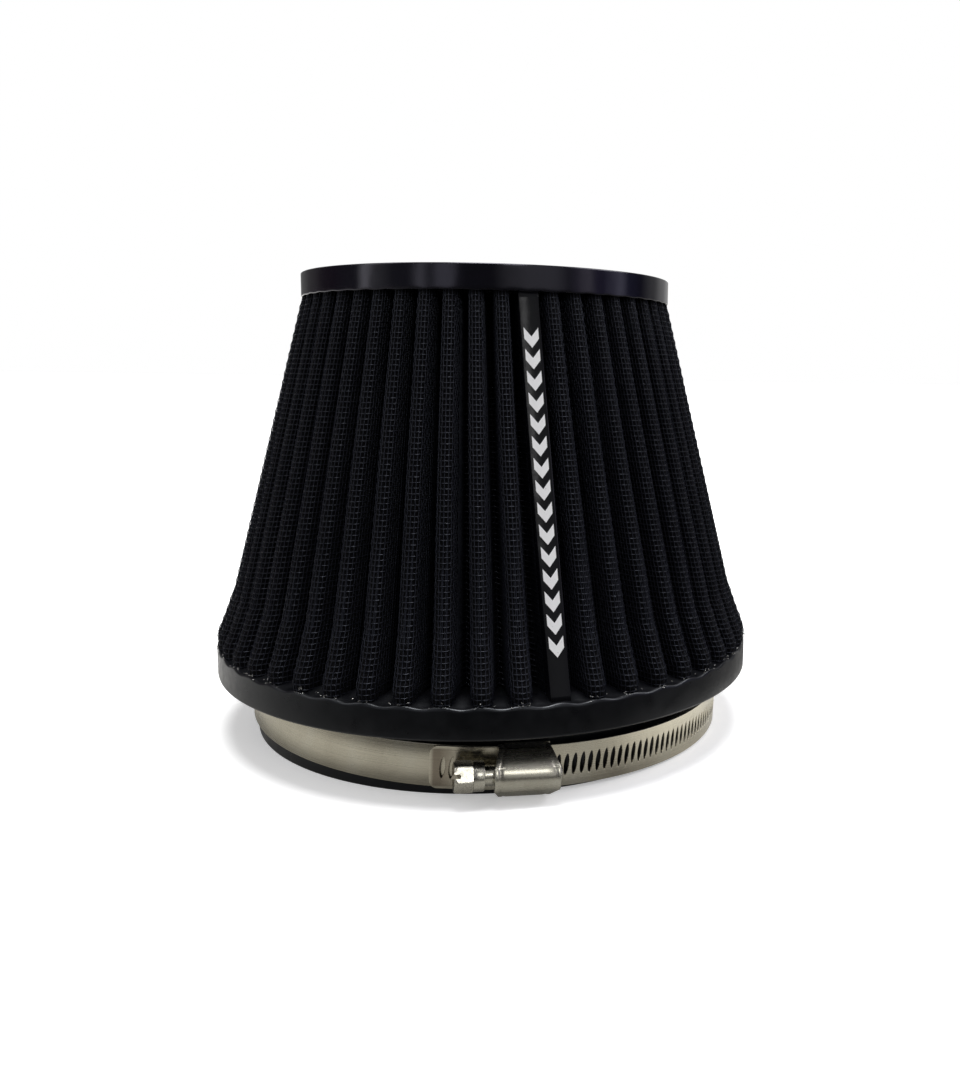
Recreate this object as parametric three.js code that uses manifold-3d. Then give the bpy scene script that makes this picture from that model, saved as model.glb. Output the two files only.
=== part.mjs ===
// Clamp-on conical air filter: a cone of pleated gauze between two wire screens, a moulded rubber base
// with its neck, a gloss end cap, a label strip over the seam, and a worm-drive hose clamp.
// Millimetres. +Z runs up the cone's axis to the cap, the origin is the centre of the neck's open end
// face, and -Y is the front, where the clamp's screw is. Angles run from the front towards +X.
import * as THREE from "three";
import { mergeVertices } from "three/addons/utils/BufferGeometryUtils.js";
import Module from "manifold-3d";

const wasm = await Module();
wasm.setup();

const rad = THREE.MathUtils.degToRad;

// ---- Driving dimensions ----
const GAP = 0.3; // free gap between touching pieces
const ROUND_SIDES = 72; // facets of the large round pieces

const NECK_RADIUS = 79.1;
const BORE_RADIUS = 76; // takes a 152 mm pipe
const NECK_HEIGHT = 20.4;
const BASE_RADIUS = 91.5;
const BASE_HEIGHT = 9.2;
const BASE_TOP = NECK_HEIGHT + BASE_HEIGHT;

const CAP_RADIUS = 62;
const CAP_BOTTOM = 144.1;
const CAP_HEIGHT = 7.5;
const CAP_TOP = CAP_BOTTOM + CAP_HEIGHT;
const CAP_WALL = 1.2;
const CAP_DISH_DEPTH = 0.8;
const CAP_DISH_RADIUS = 53;
const CAP_EDGE = 1; // rounding of the cap's upper edge
const BASE_EDGE = 0.7; // and of the base's edges
const POTTING_INNER_RADIUS = 44;

const PLEATS = 51;
const PLEAT_ANGLE = (2 * Math.PI) / PLEATS;
const PLEAT_PHASE = rad(-1.1); // angle of pleat 0's crest at the foot
const PLEAT_TWIST = rad(-2.3); // turn of the pleats from foot to top
const FOOT = { z: BASE_TOP + GAP, crest: 90, valley: 75.9 };
const HEAD = { z: CAP_BOTTOM, crest: 61.7, valley: 49.4 };
const CORE_RADIUS = FOOT.valley - 2.5; // opening in the base under the pack
const CREST_SHARE = 0.27; // half width of a crest, as a share of the pitch there
const VALLEY_SHARE = 0.22; // half width of a valley, as a share of half the pitch there
const FOOT_FLARE = 1.4; // how far the outer screen's crests swell out at the foot
const FLARE_HEIGHT = 7;

// Depth below the outer face of the pack at which each layer starts and ends.
const OUTER_SCREEN = [0, 0.3];
const GAUZE = [0.6, 1.1];
const INNER_SCREEN = [1.4, 1.7];

const SEAM_PLEAT = 2; // the pleat where the pack's two ends meet
const SEAM_DROP = 1.4; // its crest lies lower, under the clip and the label
const SEAM_CREST_HALF = 2.05;
const CLIP_HALF = 2.95;
const CLIP_SHEET = 0.4;
const CLIP_LEG = 4;
const LABEL_THICK = 0.3;

const BAND_WIDTH = 12.7;
const BAND_SHEET = 0.6;
const BAND_RADIUS = 80; // inside of the plain band
const SLOTTED_RADIUS = BAND_RADIUS + BAND_SHEET + GAP; // the slotted end runs over the plain one
const SLOT_ANGLE = rad(1.8); // one slot, and one turn of the screw
const SLOT_HALF_LENGTH = 3.2;
const SLOT_HALF_WIDTH = 0.65;
const SLOT_LEAN = 0.35; // sideways lean of a slot's tips, which follows the worm's helix
const TAIL_ANGLE = rad(-11.4); // free tip of the slotted end
const SLOTS = 50;
const SLOTTED_END_ANGLE = rad(128); // where the slotted stretch laps over the plain one
const PLAIN_START_ANGLE = rad(118);
const PLAIN_END_ANGLE = rad(362.8); // runs round the back to the front, under the screw housing
const TAIL_CORNER = 2.4;
const TAIL_CORNER_BEND = { along: 0.7, up: 0.3 }; // shares of the corner at its middle point
const PLAIN_CELLS = 68;
const LAP_CELLS = 14;

const CLAMP_HEIGHT = 9.7; // centre of the band above the neck's end face
const CLAMP_OFFSET = 0.2;
const CLAMP_SLOPE_X = 0.032; // the loose clamp hangs lower on the right
const CLAMP_SLOPE_Y = 0.012; // and a little lower at the front

const DRIVE_ANGLE = rad(6.9); // middle of the screw housing
const SCREW_DISTANCE = 85.6; // screw axis from the clamp's axis
const HOUSING_HALF = 9.4;
const HOUSING_LEG_HALF = 7.15; // half of the housing's height
const LEG_HALF_LENGTH = 7.6; // the legs are shorter than the crown
const CORNER_START = 4.6; // height from the axis where the housing's corners start to be cut off
const HOUSING_END_WALL = 1;
const CROWN_RADIUS = 5.4;
const CROWN_ANGLE = rad(40);
const SHOULDER_DISTANCE = 84.3; // where the sloping side of the housing turns into its leg
const PASSAGE_HALF = BAND_WIDTH / 2 + 0.2;
const CAVITY_RADIUS = 4.65;
const NECK_BORE = 3.2;
const SKIN = 0.05; // free gap between the housing's legs and the slotted end
const SADDLE_CELLS = 4;
const ROUND_CUT_SIDES = 24;

const SCREW_SIDES = 18;
const HEX_FLAT_RADIUS = 3.97; // half of 5/16 in across the flats
const HEX_TURN = rad(12);
const HEAD_CHAMFER = { radius: 4.05, length: 0.5 };
const HEAD_END = -20.4;
const HEAD_FOOT = -15.1;
const COLLAR_END = -11.9;
const COLLAR_RADIUS = 4.25;
const SCREW_NECK_RADIUS = 2.9;
const WORM_START = -7.9;
const WORM_END = 7.7;
const WORM_ROOT = 3.6;
const WORM_CREST = 4.4;
const WORM_STATIONS = 24;
const SCREW_TIP = 10.4;
const SCREW_TIP_RADIUS = 2.6;
const TIP_CHAMFER = 0.6;
const DRIVER_SLOT = { width: 1.2, depth: 1.8, length: 12, turn: rad(35) };

// ---- Colours and finishes ----
const finish = (color, roughness, metalness) =>
  new THREE.MeshStandardMaterial({ color, roughness, metalness });
const rubber = () => finish(0x1b1c1e, 0.55, 0);
const glossBlack = () => finish(0x0c0c0e, 0.18, 0);
const blackWire = () => finish(0x0d0e12, 0.45, 0.3);
const cotton = () => finish(0x14151a, 0.95, 0);
const steel = () => finish(0xa39f93, 0.28, 1);
const zincedSteel = () => finish(0xb9b6ab, 0.22, 1);

// ---- Geometry helpers ----

// The point at an angle from the front, a radius and a height.
function polar(angle, radius, z) {
  return new THREE.Vector3(radius * Math.sin(angle), -radius * Math.cos(angle), z);
}

function lerp(a, b, share) {
  return a + (b - a) * share;
}

// A geometry from triangles of points, with shared vertices merged.
function geometryOf(triangles) {
  const loose = new THREE.BufferGeometry().setFromPoints(triangles.flat());
  const merged = mergeVertices(loose, 1e-4);
  merged.computeVertexNormals();
  return merged;
}

function flipped(triangles) {
  return triangles.map(([a, b, c]) => [a, c, b]);
}

// The faces between two closed loops of equally many points, facing out when they run
// counter-clockwise seen from the second loop's side.
function wall(lower, upper) {
  return lower.flatMap((point, i) => {
    const j = (i + 1) % lower.length;
    return [
      [point, lower[j], upper[j]],
      [point, upper[j], upper[i]],
    ];
  });
}

function walls(loops) {
  return loops.slice(1).flatMap((loop, i) => wall(loops[i], loop));
}

// A closed tube between a stack of outer loops and a stack of inner loops.
function tube(outer, inner) {
  const last = outer.length - 1;
  return geometryOf([
    ...walls(outer),
    ...flipped(walls(inner)),
    ...wall(outer[last], inner[last]),
    ...flipped(wall(outer[0], inner[0])),
  ]);
}

// A closed bar through a stack of loops, whose ends are filled as the flat outline says.
function bar(loops, outline) {
  const faces = THREE.ShapeUtils.triangulateShape(outline, []);
  const first = loops[0];
  const last = loops[loops.length - 1];
  return geometryOf([
    ...walls(loops),
    ...faces.map((face) => face.map((i) => last[i])),
    ...flipped(faces.map((face) => face.map((i) => first[i]))),
  ]);
}

// A turned piece from its closed [radius, height] profile, counter-clockwise.
function turned(profile) {
  const points = [...profile, profile[0]].map(([r, z]) => new THREE.Vector2(r, z));
  const geometry = new THREE.LatheGeometry(points, ROUND_SIDES);
  return geometry.rotateX(Math.PI / 2);
}

function manifoldOf(geometry) {
  const bare = geometry.clone();
  bare.deleteAttribute("normal");
  bare.deleteAttribute("uv");
  const merged = mergeVertices(bare, 1e-4);
  return new wasm.Manifold(
    new wasm.Mesh({
      numProp: 3,
      vertProperties: merged.attributes.position.array,
      triVerts: new Uint32Array(merged.index.array),
    }),
  );
}

function geometryFrom(manifold) {
  const mesh = manifold.getMesh();
  const geometry = new THREE.BufferGeometry();
  geometry.setAttribute("position", new THREE.BufferAttribute(mesh.vertProperties, 3));
  geometry.setIndex(new THREE.BufferAttribute(mesh.triVerts, 1));
  geometry.computeVertexNormals();
  return geometry;
}

function part(name, geometry, material) {
  const mesh = new THREE.Mesh(geometry, material);
  mesh.name = name;
  return mesh;
}

// ---- Moulded base, cap and potting ----

function baseFlange() {
  const edge = BASE_EDGE;
  return turned([
    [BORE_RADIUS + edge, 0],
    [NECK_RADIUS - edge, 0],
    [NECK_RADIUS, edge],
    [NECK_RADIUS, NECK_HEIGHT],
    [BASE_RADIUS - edge, NECK_HEIGHT],
    [BASE_RADIUS, NECK_HEIGHT + edge],
    [BASE_RADIUS, BASE_TOP - edge / 2],
    [BASE_RADIUS - edge / 2, BASE_TOP],
    [CORE_RADIUS, BASE_TOP],
    [CORE_RADIUS, BASE_TOP - 5.2],
    [BORE_RADIUS, NECK_HEIGHT + 2],
    [BORE_RADIUS, edge],
  ]);
}

function topCap() {
  const edge = CAP_EDGE;
  const lip = 0.2;
  const plate = CAP_TOP - CAP_DISH_DEPTH;
  return turned([
    [0, plate - CAP_WALL],
    [CAP_RADIUS - CAP_WALL, plate - CAP_WALL],
    [CAP_RADIUS - CAP_WALL, CAP_BOTTOM],
    [CAP_RADIUS - lip, CAP_BOTTOM],
    [CAP_RADIUS, CAP_BOTTOM + lip],
    [CAP_RADIUS, CAP_TOP - edge],
    [CAP_RADIUS - edge * 0.3, CAP_TOP - edge * 0.3],
    [CAP_RADIUS - edge, CAP_TOP],
    [CAP_DISH_RADIUS + CAP_DISH_DEPTH, CAP_TOP],
    [CAP_DISH_RADIUS, plate],
    [0, plate],
  ]);
}

// The ring of resin inside the cap that seals the tops of the pleats.
function topPotting() {
  const outer = CAP_RADIUS - CAP_WALL - GAP;
  const top = CAP_TOP - CAP_DISH_DEPTH - CAP_WALL - GAP;
  return turned([
    [POTTING_INNER_RADIUS, HEAD.z + GAP],
    [outer, HEAD.z + GAP],
    [outer, top],
    [POTTING_INNER_RADIUS, top],
  ]);
}

// ---- Pleated layers ----

// The pack's measures at a height: where its crests and valleys lie, and its turn.
function packAt(z) {
  const share = (z - FOOT.z) / (HEAD.z - FOOT.z);
  return {
    crest: lerp(FOOT.crest, HEAD.crest, share),
    valley: lerp(FOOT.valley, HEAD.valley, share),
    turn: PLEAT_PHASE + PLEAT_TWIST * share,
  };
}

// One closed loop of a pleated layer's face at a height. depth is how far the face lies below the
// pack's outer face, and flare is how far its crests swell out there.
function pleatLoop(z, depth, flare = 0) {
  const { crest, valley, turn } = packAt(z);
  const bevel = depth * (Math.SQRT2 - 1);
  const points = [];
  for (let k = 0; k < PLEATS; k++) {
    const middle = turn + k * PLEAT_ANGLE;
    const seam = k === SEAM_PLEAT;
    const top = seam ? crest - SEAM_DROP : crest + flare;
    const half = seam ? SEAM_CREST_HALF : CREST_SHARE * PLEAT_ANGLE * crest;
    const flank = PLEAT_ANGLE / 2 - (VALLEY_SHARE * PLEAT_ANGLE * valley * 0.5 + depth) / valley;
    const corners = [
      [flank, valley - depth],
      [(half - depth) / crest, top - half / 2 - bevel],
      [(half / 2 - bevel) / crest, top - depth],
    ];
    for (const [angle, r] of corners) points.push(polar(middle - angle, r, z));
    for (const [angle, r] of corners.reverse()) points.push(polar(middle + angle, r, z));
  }
  return points;
}

function pleatedLayer([outside, inside], levels) {
  return tube(
    levels.map(([z, flare]) => pleatLoop(z, outside, flare)),
    levels.map(([z, flare]) => pleatLoop(z, inside, flare)),
  );
}

const straightLevels = [
  [FOOT.z, 0],
  [HEAD.z, 0],
];
const flaredLevels = [
  [FOOT.z, FOOT_FLARE],
  [FOOT.z + FLARE_HEIGHT, 0],
  [HEAD.z, 0],
];

// ---- Seam clip and label ----

// Places a flat outline of [sideways, outward] points on the seam pleat's crest at a height.
function seamLoop(outline, z) {
  const { crest, turn } = packAt(z);
  const angle = turn + SEAM_PLEAT * PLEAT_ANGLE;
  const across = new THREE.Vector3(Math.cos(angle), Math.sin(angle), 0);
  const out = new THREE.Vector3(Math.sin(angle), -Math.cos(angle), 0);
  return outline.map(({ x, y }) =>
    out.clone().multiplyScalar(crest - SEAM_DROP + y).addScaledVector(across, x).setZ(z),
  );
}

function seamBar(corners, from, to) {
  const outline = corners.map(([x, y]) => new THREE.Vector2(x, y));
  return bar([seamLoop(outline, to), seamLoop(outline, from)], outline);
}

// A channel that grips the pack's two folded ends along the seam.
function seamClip() {
  const foot = GAP - CLIP_LEG;
  const top = GAP + CLIP_SHEET;
  const inner = CLIP_HALF - CLIP_SHEET;
  return seamBar(
    [
      [-CLIP_HALF, foot],
      [-inner, foot],
      [-inner, GAP],
      [inner, GAP],
      [inner, foot],
      [CLIP_HALF, foot],
      [CLIP_HALF, top],
      [-CLIP_HALF, top],
    ],
    FOOT.z + GAP,
    HEAD.z - GAP,
  );
}

function labelStrip() {
  const low = GAP + CLIP_SHEET + GAP / 2;
  const high = low + LABEL_THICK;
  return seamBar(
    [
      [-CLIP_HALF, low],
      [CLIP_HALF, low],
      [CLIP_HALF, high],
      [-CLIP_HALF, high],
    ],
    FOOT.z + GAP,
    HEAD.z - GAP,
  );
}

// ---- Clamp bands ----

// A curved plate made of flat cells of { contour, hole }, in [angle, height], which share their
// left and right edges. Only the outer rim and the holes get side walls.
function curvedPlate(cells, inside, outside) {
  const triangles = [];
  const place = ([angle, z], radius) => polar(angle, radius, z);
  const sides = (loop, skip) =>
    loop.forEach((a, i) => {
      const b = loop[(i + 1) % loop.length];
      if (skip(a, b)) return;
      triangles.push([place(a, outside), place(a, inside), place(b, inside)]);
      triangles.push([place(a, outside), place(b, inside), place(b, outside)]);
    });
  const first = Math.min(...cells[0].contour.map(([angle]) => angle));
  const last = Math.max(...cells[cells.length - 1].contour.map(([angle]) => angle));
  for (const { contour, hole = [] } of cells) {
    const edges = contour.map(([angle]) => angle);
    const ends = [Math.min(...edges), Math.max(...edges)];
    const shared = ends.filter((angle) => angle > first && angle < last);
    const flat = (loop) => loop.map(([x, y]) => new THREE.Vector2(x, y));
    const points = [...contour, ...hole];
    const holes = hole.length ? [flat(hole)] : [];
    for (const face of THREE.ShapeUtils.triangulateShape(flat(contour), holes)) {
      const [a, b, c] = face.map((i) => points[i]);
      const turn = (b[0] - a[0]) * (c[1] - a[1]) - (b[1] - a[1]) * (c[0] - a[0]);
      const corners = turn > 0 ? [a, b, c] : [a, c, b];
      triangles.push(corners.map((p) => place(p, outside)));
      triangles.push(corners.map((p) => place(p, inside)).reverse());
    }
    sides(contour, (a, b) => a[0] === b[0] && shared.includes(a[0]));
    sides(hole, () => false);
  }
  return geometryOf(triangles);
}

function plainCell(from, to, half) {
  return {
    contour: [
      [from, -half],
      [to, -half],
      [to, half],
      [from, half],
    ],
  };
}

function plainCells(from, to, half, count) {
  const edge = (i) => lerp(from, to, i / count);
  return Array.from({ length: count }, (_, i) => plainCell(edge(i), edge(i + 1), half));
}

function clampBand() {
  const cells = plainCells(PLAIN_START_ANGLE, PLAIN_END_ANGLE, BAND_WIDTH / 2, PLAIN_CELLS);
  return curvedPlate(cells, BAND_RADIUS, BAND_RADIUS + BAND_SHEET);
}

// Middle angle of a slot. Slot 0 is the one nearest the free tip.
function slotAngle(index) {
  const nearHousing = Math.round((DRIVE_ANGLE - TAIL_ANGLE) / SLOT_ANGLE) - 1;
  return DRIVE_ANGLE + (index - nearHousing) * SLOT_ANGLE;
}

// A slot's outline, clockwise in [angle, height]: a lens whose tips lean along the worm's helix.
function slotLoop(middle) {
  const middleRadius = SLOTTED_RADIUS + BAND_SHEET / 2;
  const belly = SLOT_HALF_LENGTH / 3;
  return [
    [SLOT_LEAN, SLOT_HALF_LENGTH],
    [SLOT_HALF_WIDTH, belly],
    [SLOT_HALF_WIDTH, -belly],
    [-SLOT_LEAN, -SLOT_HALF_LENGTH],
    [-SLOT_HALF_WIDTH, -belly],
    [-SLOT_HALF_WIDTH, belly],
  ].map(([x, z]) => [middle + x / middleRadius, z]);
}

function clampSlottedEnd() {
  const half = BAND_WIDTH / 2;
  const edge = (i) => slotAngle(i) - SLOT_ANGLE / 2;
  const corner = TAIL_CORNER / SLOTTED_RADIUS;
  const tip = edge(0) - corner;
  const bend = edge(0) - corner * TAIL_CORNER_BEND.along;
  const bendHalf = half - TAIL_CORNER * TAIL_CORNER_BEND.up;
  const tail = {
    contour: [
      [tip, TAIL_CORNER - half],
      [bend, -bendHalf],
      [edge(0), -half],
      [edge(0), half],
      [bend, bendHalf],
      [tip, half - TAIL_CORNER],
    ],
  };
  const slotted = Array.from({ length: SLOTS }, (_, i) => ({
    ...plainCell(edge(i), edge(i + 1), half),
    hole: slotLoop(slotAngle(i)),
  }));
  const rest = plainCells(edge(SLOTS), SLOTTED_END_ANGLE, half, LAP_CELLS);
  return curvedPlate([tail, ...slotted, ...rest], SLOTTED_RADIUS, SLOTTED_RADIUS + BAND_SHEET);
}

// ---- Clamp drive, in a frame turned so that the housing's middle is at the front (-Y) ----

// The curved plate under the housing, next to the plain band's end.
function clampSaddle() {
  const start = PLAIN_END_ANGLE - 2 * Math.PI - DRIVE_ANGLE + GAP / BAND_RADIUS;
  const end = Math.asin(LEG_HALF_LENGTH / BAND_RADIUS);
  const cells = plainCells(start, end, HOUSING_LEG_HALF, SADDLE_CELLS);
  return curvedPlate(cells, BAND_RADIUS, BAND_RADIUS + BAND_SHEET);
}

// A prism along +X with an outline of [outward, up] points.
function alongBand(outline, from, to) {
  const shape = new THREE.Shape(outline.map(([out, up]) => new THREE.Vector2(out, up)));
  const prism = new THREE.ExtrudeGeometry(shape, { depth: to - from, bevelEnabled: false });
  const axes = new THREE.Matrix4().makeBasis(
    new THREE.Vector3(0, -1, 0),
    new THREE.Vector3(0, 0, 1),
    new THREE.Vector3(-1, 0, 0),
  );
  return prism.applyMatrix4(axes).translate(to, 0, 0);
}

// A cylinder along +X round the screw's axis.
function onScrewAxis(radius, from, to) {
  const cylinder = new THREE.CylinderGeometry(radius, radius, to - from, ROUND_CUT_SIDES);
  return cylinder.rotateZ(-Math.PI / 2).translate((from + to) / 2, -SCREW_DISTANCE, 0);
}

function clampHousing() {
  const legEnd = SLOTTED_RADIUS + SKIN;
  const crownSteps = 8;
  const crown = Array.from({ length: crownSteps + 1 }, (_, i) => {
    const angle = lerp(-CROWN_ANGLE, CROWN_ANGLE, i / crownSteps);
    return [SCREW_DISTANCE + CROWN_RADIUS * Math.cos(angle), CROWN_RADIUS * Math.sin(angle)];
  });
  const section = [
    [legEnd, -HOUSING_LEG_HALF],
    [SHOULDER_DISTANCE, -HOUSING_LEG_HALF],
    ...crown,
    [SHOULDER_DISTANCE, HOUSING_LEG_HALF],
    [legEnd, HOUSING_LEG_HALF],
  ];
  const hood = manifoldOf(alongBand(section, -HOUSING_HALF, HOUSING_HALF));

  // Seen from outside, the legs are shorter than the crown and their corners are cut off. The
  // trimming block passes a little beyond the hood on every other side.
  const beyond = 1;
  const cut = (HOUSING_HALF - LEG_HALF_LENGTH) / (HOUSING_LEG_HALF - CORNER_START);
  const tip = LEG_HALF_LENGTH - cut * beyond;
  const height = HOUSING_LEG_HALF + beyond;
  const quarter = [
    [tip, height],
    [HOUSING_HALF, CORNER_START],
  ];
  const plan = new THREE.Shape(
    [
      ...quarter.map(([x, z]) => [x, -z]),
      ...quarter.map(([x, z]) => [x, z]).reverse(),
      ...quarter.map(([x, z]) => [-x, z]),
      ...quarter.map(([x, z]) => [-x, -z]).reverse(),
    ].map(([x, z]) => new THREE.Vector2(x, z)),
  );
  const crownDistance = SCREW_DISTANCE + CROWN_RADIUS;
  const depth = crownDistance - BORE_RADIUS + beyond;
  const block = new THREE.ExtrudeGeometry(plan, { depth, bevelEnabled: false });
  const trim = manifoldOf(block.rotateX(Math.PI / 2).translate(0, -BORE_RADIUS, 0));

  const roof = SLOTTED_RADIUS + BAND_SHEET + GAP;
  const passage = new THREE.BoxGeometry(3 * HOUSING_HALF, roof - BORE_RADIUS, 2 * PASSAGE_HALF);
  passage.translate(0, -(roof + BORE_RADIUS) / 2, 0);
  const cavity = HOUSING_HALF - HOUSING_END_WALL;
  const through = HOUSING_HALF + beyond;
  return geometryFrom(
    hood
      .intersect(trim)
      .subtract(manifoldOf(passage))
      .subtract(manifoldOf(onScrewAxis(CAVITY_RADIUS, -cavity, cavity)))
      .subtract(manifoldOf(onScrewAxis(NECK_BORE, -through, through))),
  );
}

// Distance from the screw's axis to the hexagon's side at an angle round the axis.
function hexRadius(angle, flatRadius) {
  const sector = Math.PI / 3;
  const local = ((((angle - HEX_TURN) % sector) + 1.5 * sector) % sector) - sector / 2;
  return flatRadius / Math.cos(local);
}

// The worm's thread: distance from the axis at a place along it and an angle round it. A crest
// faces a slot of the band (angle 180 degrees) at each whole pitch from the middle.
function wormRadius(x, angle) {
  const pitch = SLOT_ANGLE * (SLOTTED_RADIUS + BAND_SHEET / 2);
  const phase = x / pitch - (angle - Math.PI) / (2 * Math.PI);
  const fromCrest = Math.abs((((phase % 1) + 1.5) % 1) - 0.5); // 0 on a crest, 0.5 between two
  const crestHalf = 0.1;
  const flank = 0.25;
  const share = THREE.MathUtils.clamp((fromCrest - crestHalf) / flank, 0, 1);
  return lerp(WORM_CREST, WORM_ROOT, share);
}

// The screw: slotted hex head, collar, neck, worm and tip, as rings along its axis.
function clampScrew() {
  const round = (r) => () => r;
  const hex = (flat) => (angle) => hexRadius(angle, flat);
  const stations = [
    [HEAD_END, (angle) => Math.min(hexRadius(angle, HEX_FLAT_RADIUS), HEAD_CHAMFER.radius)],
    [HEAD_END + HEAD_CHAMFER.length, hex(HEX_FLAT_RADIUS)],
    [HEAD_FOOT, hex(HEX_FLAT_RADIUS)],
    [HEAD_FOOT, round(COLLAR_RADIUS)],
    [COLLAR_END, round(COLLAR_RADIUS)],
    [COLLAR_END, round(SCREW_NECK_RADIUS)],
    [WORM_START, round(SCREW_NECK_RADIUS)],
  ];
  for (let i = 0; i <= WORM_STATIONS; i++) {
    const x = lerp(WORM_START, WORM_END, i / WORM_STATIONS);
    stations.push([x, (angle) => wormRadius(x, angle)]);
  }
  stations.push(
    [WORM_END, round(SCREW_TIP_RADIUS)],
    [SCREW_TIP - TIP_CHAMFER, round(SCREW_TIP_RADIUS)],
    [SCREW_TIP, round(SCREW_TIP_RADIUS - TIP_CHAMFER)],
  );
  const angles = Array.from(
    { length: SCREW_SIDES },
    (_, i) => HEX_TURN + ((i + 0.5) * 2 * Math.PI) / SCREW_SIDES + Math.PI / SCREW_SIDES,
  );
  const ring = ([x, radiusAt]) =>
    angles.map((angle) => {
      const r = radiusAt(angle);
      return new THREE.Vector3(x, -SCREW_DISTANCE - r * Math.cos(angle), -r * Math.sin(angle));
    });
  const outline = angles.map((a) => new THREE.Vector2(Math.cos(a), Math.sin(a)));
  const blank = manifoldOf(bar(stations.map(ring), outline));
  const { width, depth, length, turn } = DRIVER_SLOT;
  const slot = new THREE.BoxGeometry(2 * depth, width, length);
  slot.rotateX(turn).translate(HEAD_END, -SCREW_DISTANCE, 0);
  return geometryFrom(blank.subtract(manifoldOf(slot)));
}

// ---- Assembly ----

const drive = new THREE.Group();
drive.rotation.z = DRIVE_ANGLE;
drive.add(
  part("clamp_saddle", clampSaddle(), steel()),
  part("clamp_housing", clampHousing(), steel()),
  part("clamp_screw", clampScrew(), zincedSteel()),
);

const clamp = new THREE.Group();
clamp.position.set(CLAMP_OFFSET, 0, CLAMP_HEIGHT);
clamp.rotation.set(Math.atan(CLAMP_SLOPE_Y), Math.atan(CLAMP_SLOPE_X), 0);
clamp.add(
  part("clamp_band", clampBand(), steel()),
  part("clamp_slotted_end", clampSlottedEnd(), steel()),
  drive,
);

const filter = new THREE.Group();
filter.add(
  part("base_flange", baseFlange(), rubber()),
  part("top_cap", topCap(), glossBlack()),
  part("top_potting", topPotting(), rubber()),
  part("outer_screen", pleatedLayer(OUTER_SCREEN, flaredLevels), blackWire()),
  part("gauze_media", pleatedLayer(GAUZE, straightLevels), cotton()),
  part("inner_screen", pleatedLayer(INNER_SCREEN, straightLevels), blackWire()),
  part("seam_clip", seamClip(), blackWire()),
  part("label_strip", labelStrip(), glossBlack()),
  clamp,
);

export default filter;
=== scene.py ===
"""Looks of the clamp-on cone air filter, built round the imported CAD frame.

Lengths are in millimetres until a mesh is made, and +Z runs up the cone. Angles run from the front
(-Y) towards +X. The clamp's pieces are built in the clamp's own frame, and the drive's in a frame
turned so that the screw housing is at the front.
"""

import math

import bmesh
import bpy
import numpy as np
from mathutils import Matrix, Vector


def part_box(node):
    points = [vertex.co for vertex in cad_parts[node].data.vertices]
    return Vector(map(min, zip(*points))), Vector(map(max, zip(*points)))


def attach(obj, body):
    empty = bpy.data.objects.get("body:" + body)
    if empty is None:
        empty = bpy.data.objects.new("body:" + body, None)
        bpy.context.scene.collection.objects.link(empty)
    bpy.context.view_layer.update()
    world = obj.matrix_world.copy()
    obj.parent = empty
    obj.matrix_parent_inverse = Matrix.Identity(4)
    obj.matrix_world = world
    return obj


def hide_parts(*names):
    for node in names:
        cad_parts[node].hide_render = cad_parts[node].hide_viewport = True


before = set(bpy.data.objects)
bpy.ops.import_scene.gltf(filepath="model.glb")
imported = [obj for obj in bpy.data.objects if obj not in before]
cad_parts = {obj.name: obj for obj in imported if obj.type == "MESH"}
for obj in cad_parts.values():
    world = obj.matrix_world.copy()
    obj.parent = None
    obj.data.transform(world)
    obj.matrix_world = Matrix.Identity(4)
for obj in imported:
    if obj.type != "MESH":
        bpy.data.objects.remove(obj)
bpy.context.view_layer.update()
rng = np.random.default_rng(51)

MM = 0.001

# ---- Dimensions that follow the CAD pieces ----


def box_mm(node):
    low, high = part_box(node)
    return np.array(low) / MM, np.array(high) / MM


base_high = box_mm("base_flange")[1]
cap_low, cap_high = box_mm("top_cap")
BASE_RADIUS = base_high[0]
BASE_TOP = base_high[2]
CAP_RADIUS = cap_high[0]
CAP_BOTTOM = cap_low[2]
CAP_TOP = cap_high[2]
NECK_RADIUS = 79.1
BORE_RADIUS = 76.0
RING_BOTTOM = 20.4
CORE_RADIUS = 73.4

# The pleated pack: its crests and valleys at foot and head, half their widths as a share of the
# pitch there, and the lower crest under the label, with a half width of its own.
PLEATS = 51
PITCH = 2 * math.pi / PLEATS
PHASE = math.radians(-1.1)
TWIST = math.radians(-2.3)
FOOT = {"z": BASE_TOP + 0.3, "crest": 90.0, "valley": 75.9}
HEAD = {"z": CAP_BOTTOM, "crest": 61.7, "valley": 49.4}
CREST_SHARE = 0.27
VALLEY_SHARE = 0.11
SEAM_PLEAT = 2
SEAM_DROP = 1.4
SEAM_HALF = 2.05
# How far inside the pack's outer face its layers lie.
OUTER_SCREEN_DEPTH = 0.15
GAUZE_DEPTHS = (0.42, 1.15)
INNER_SCREEN_DEPTH = 1.5
# Crest radius of the outer screen above the base ring, where it swells out at its foot.
FOOT_SWELL = [
    (0, 91.0), (1, 91.3), (3.5, 91.3), (5, 90.9), (6.5, 90.1), (9, 89.1), (13, 87.6), (18, 85.9),
]

# Wire cloth: upright warp wires on half a pleat, level weft wires, and their radius. The warps
# stand a little proud, and WOVEN_HALF of them each side of a crest pass over and under the wefts.
WARPS_PER_HALF = 13
WEFT_PITCH = 1.555
WIRE = 0.15
WEAVE = 0.95 * WIRE
PROUD = 0.04
WOVEN_HALF = 6

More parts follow.
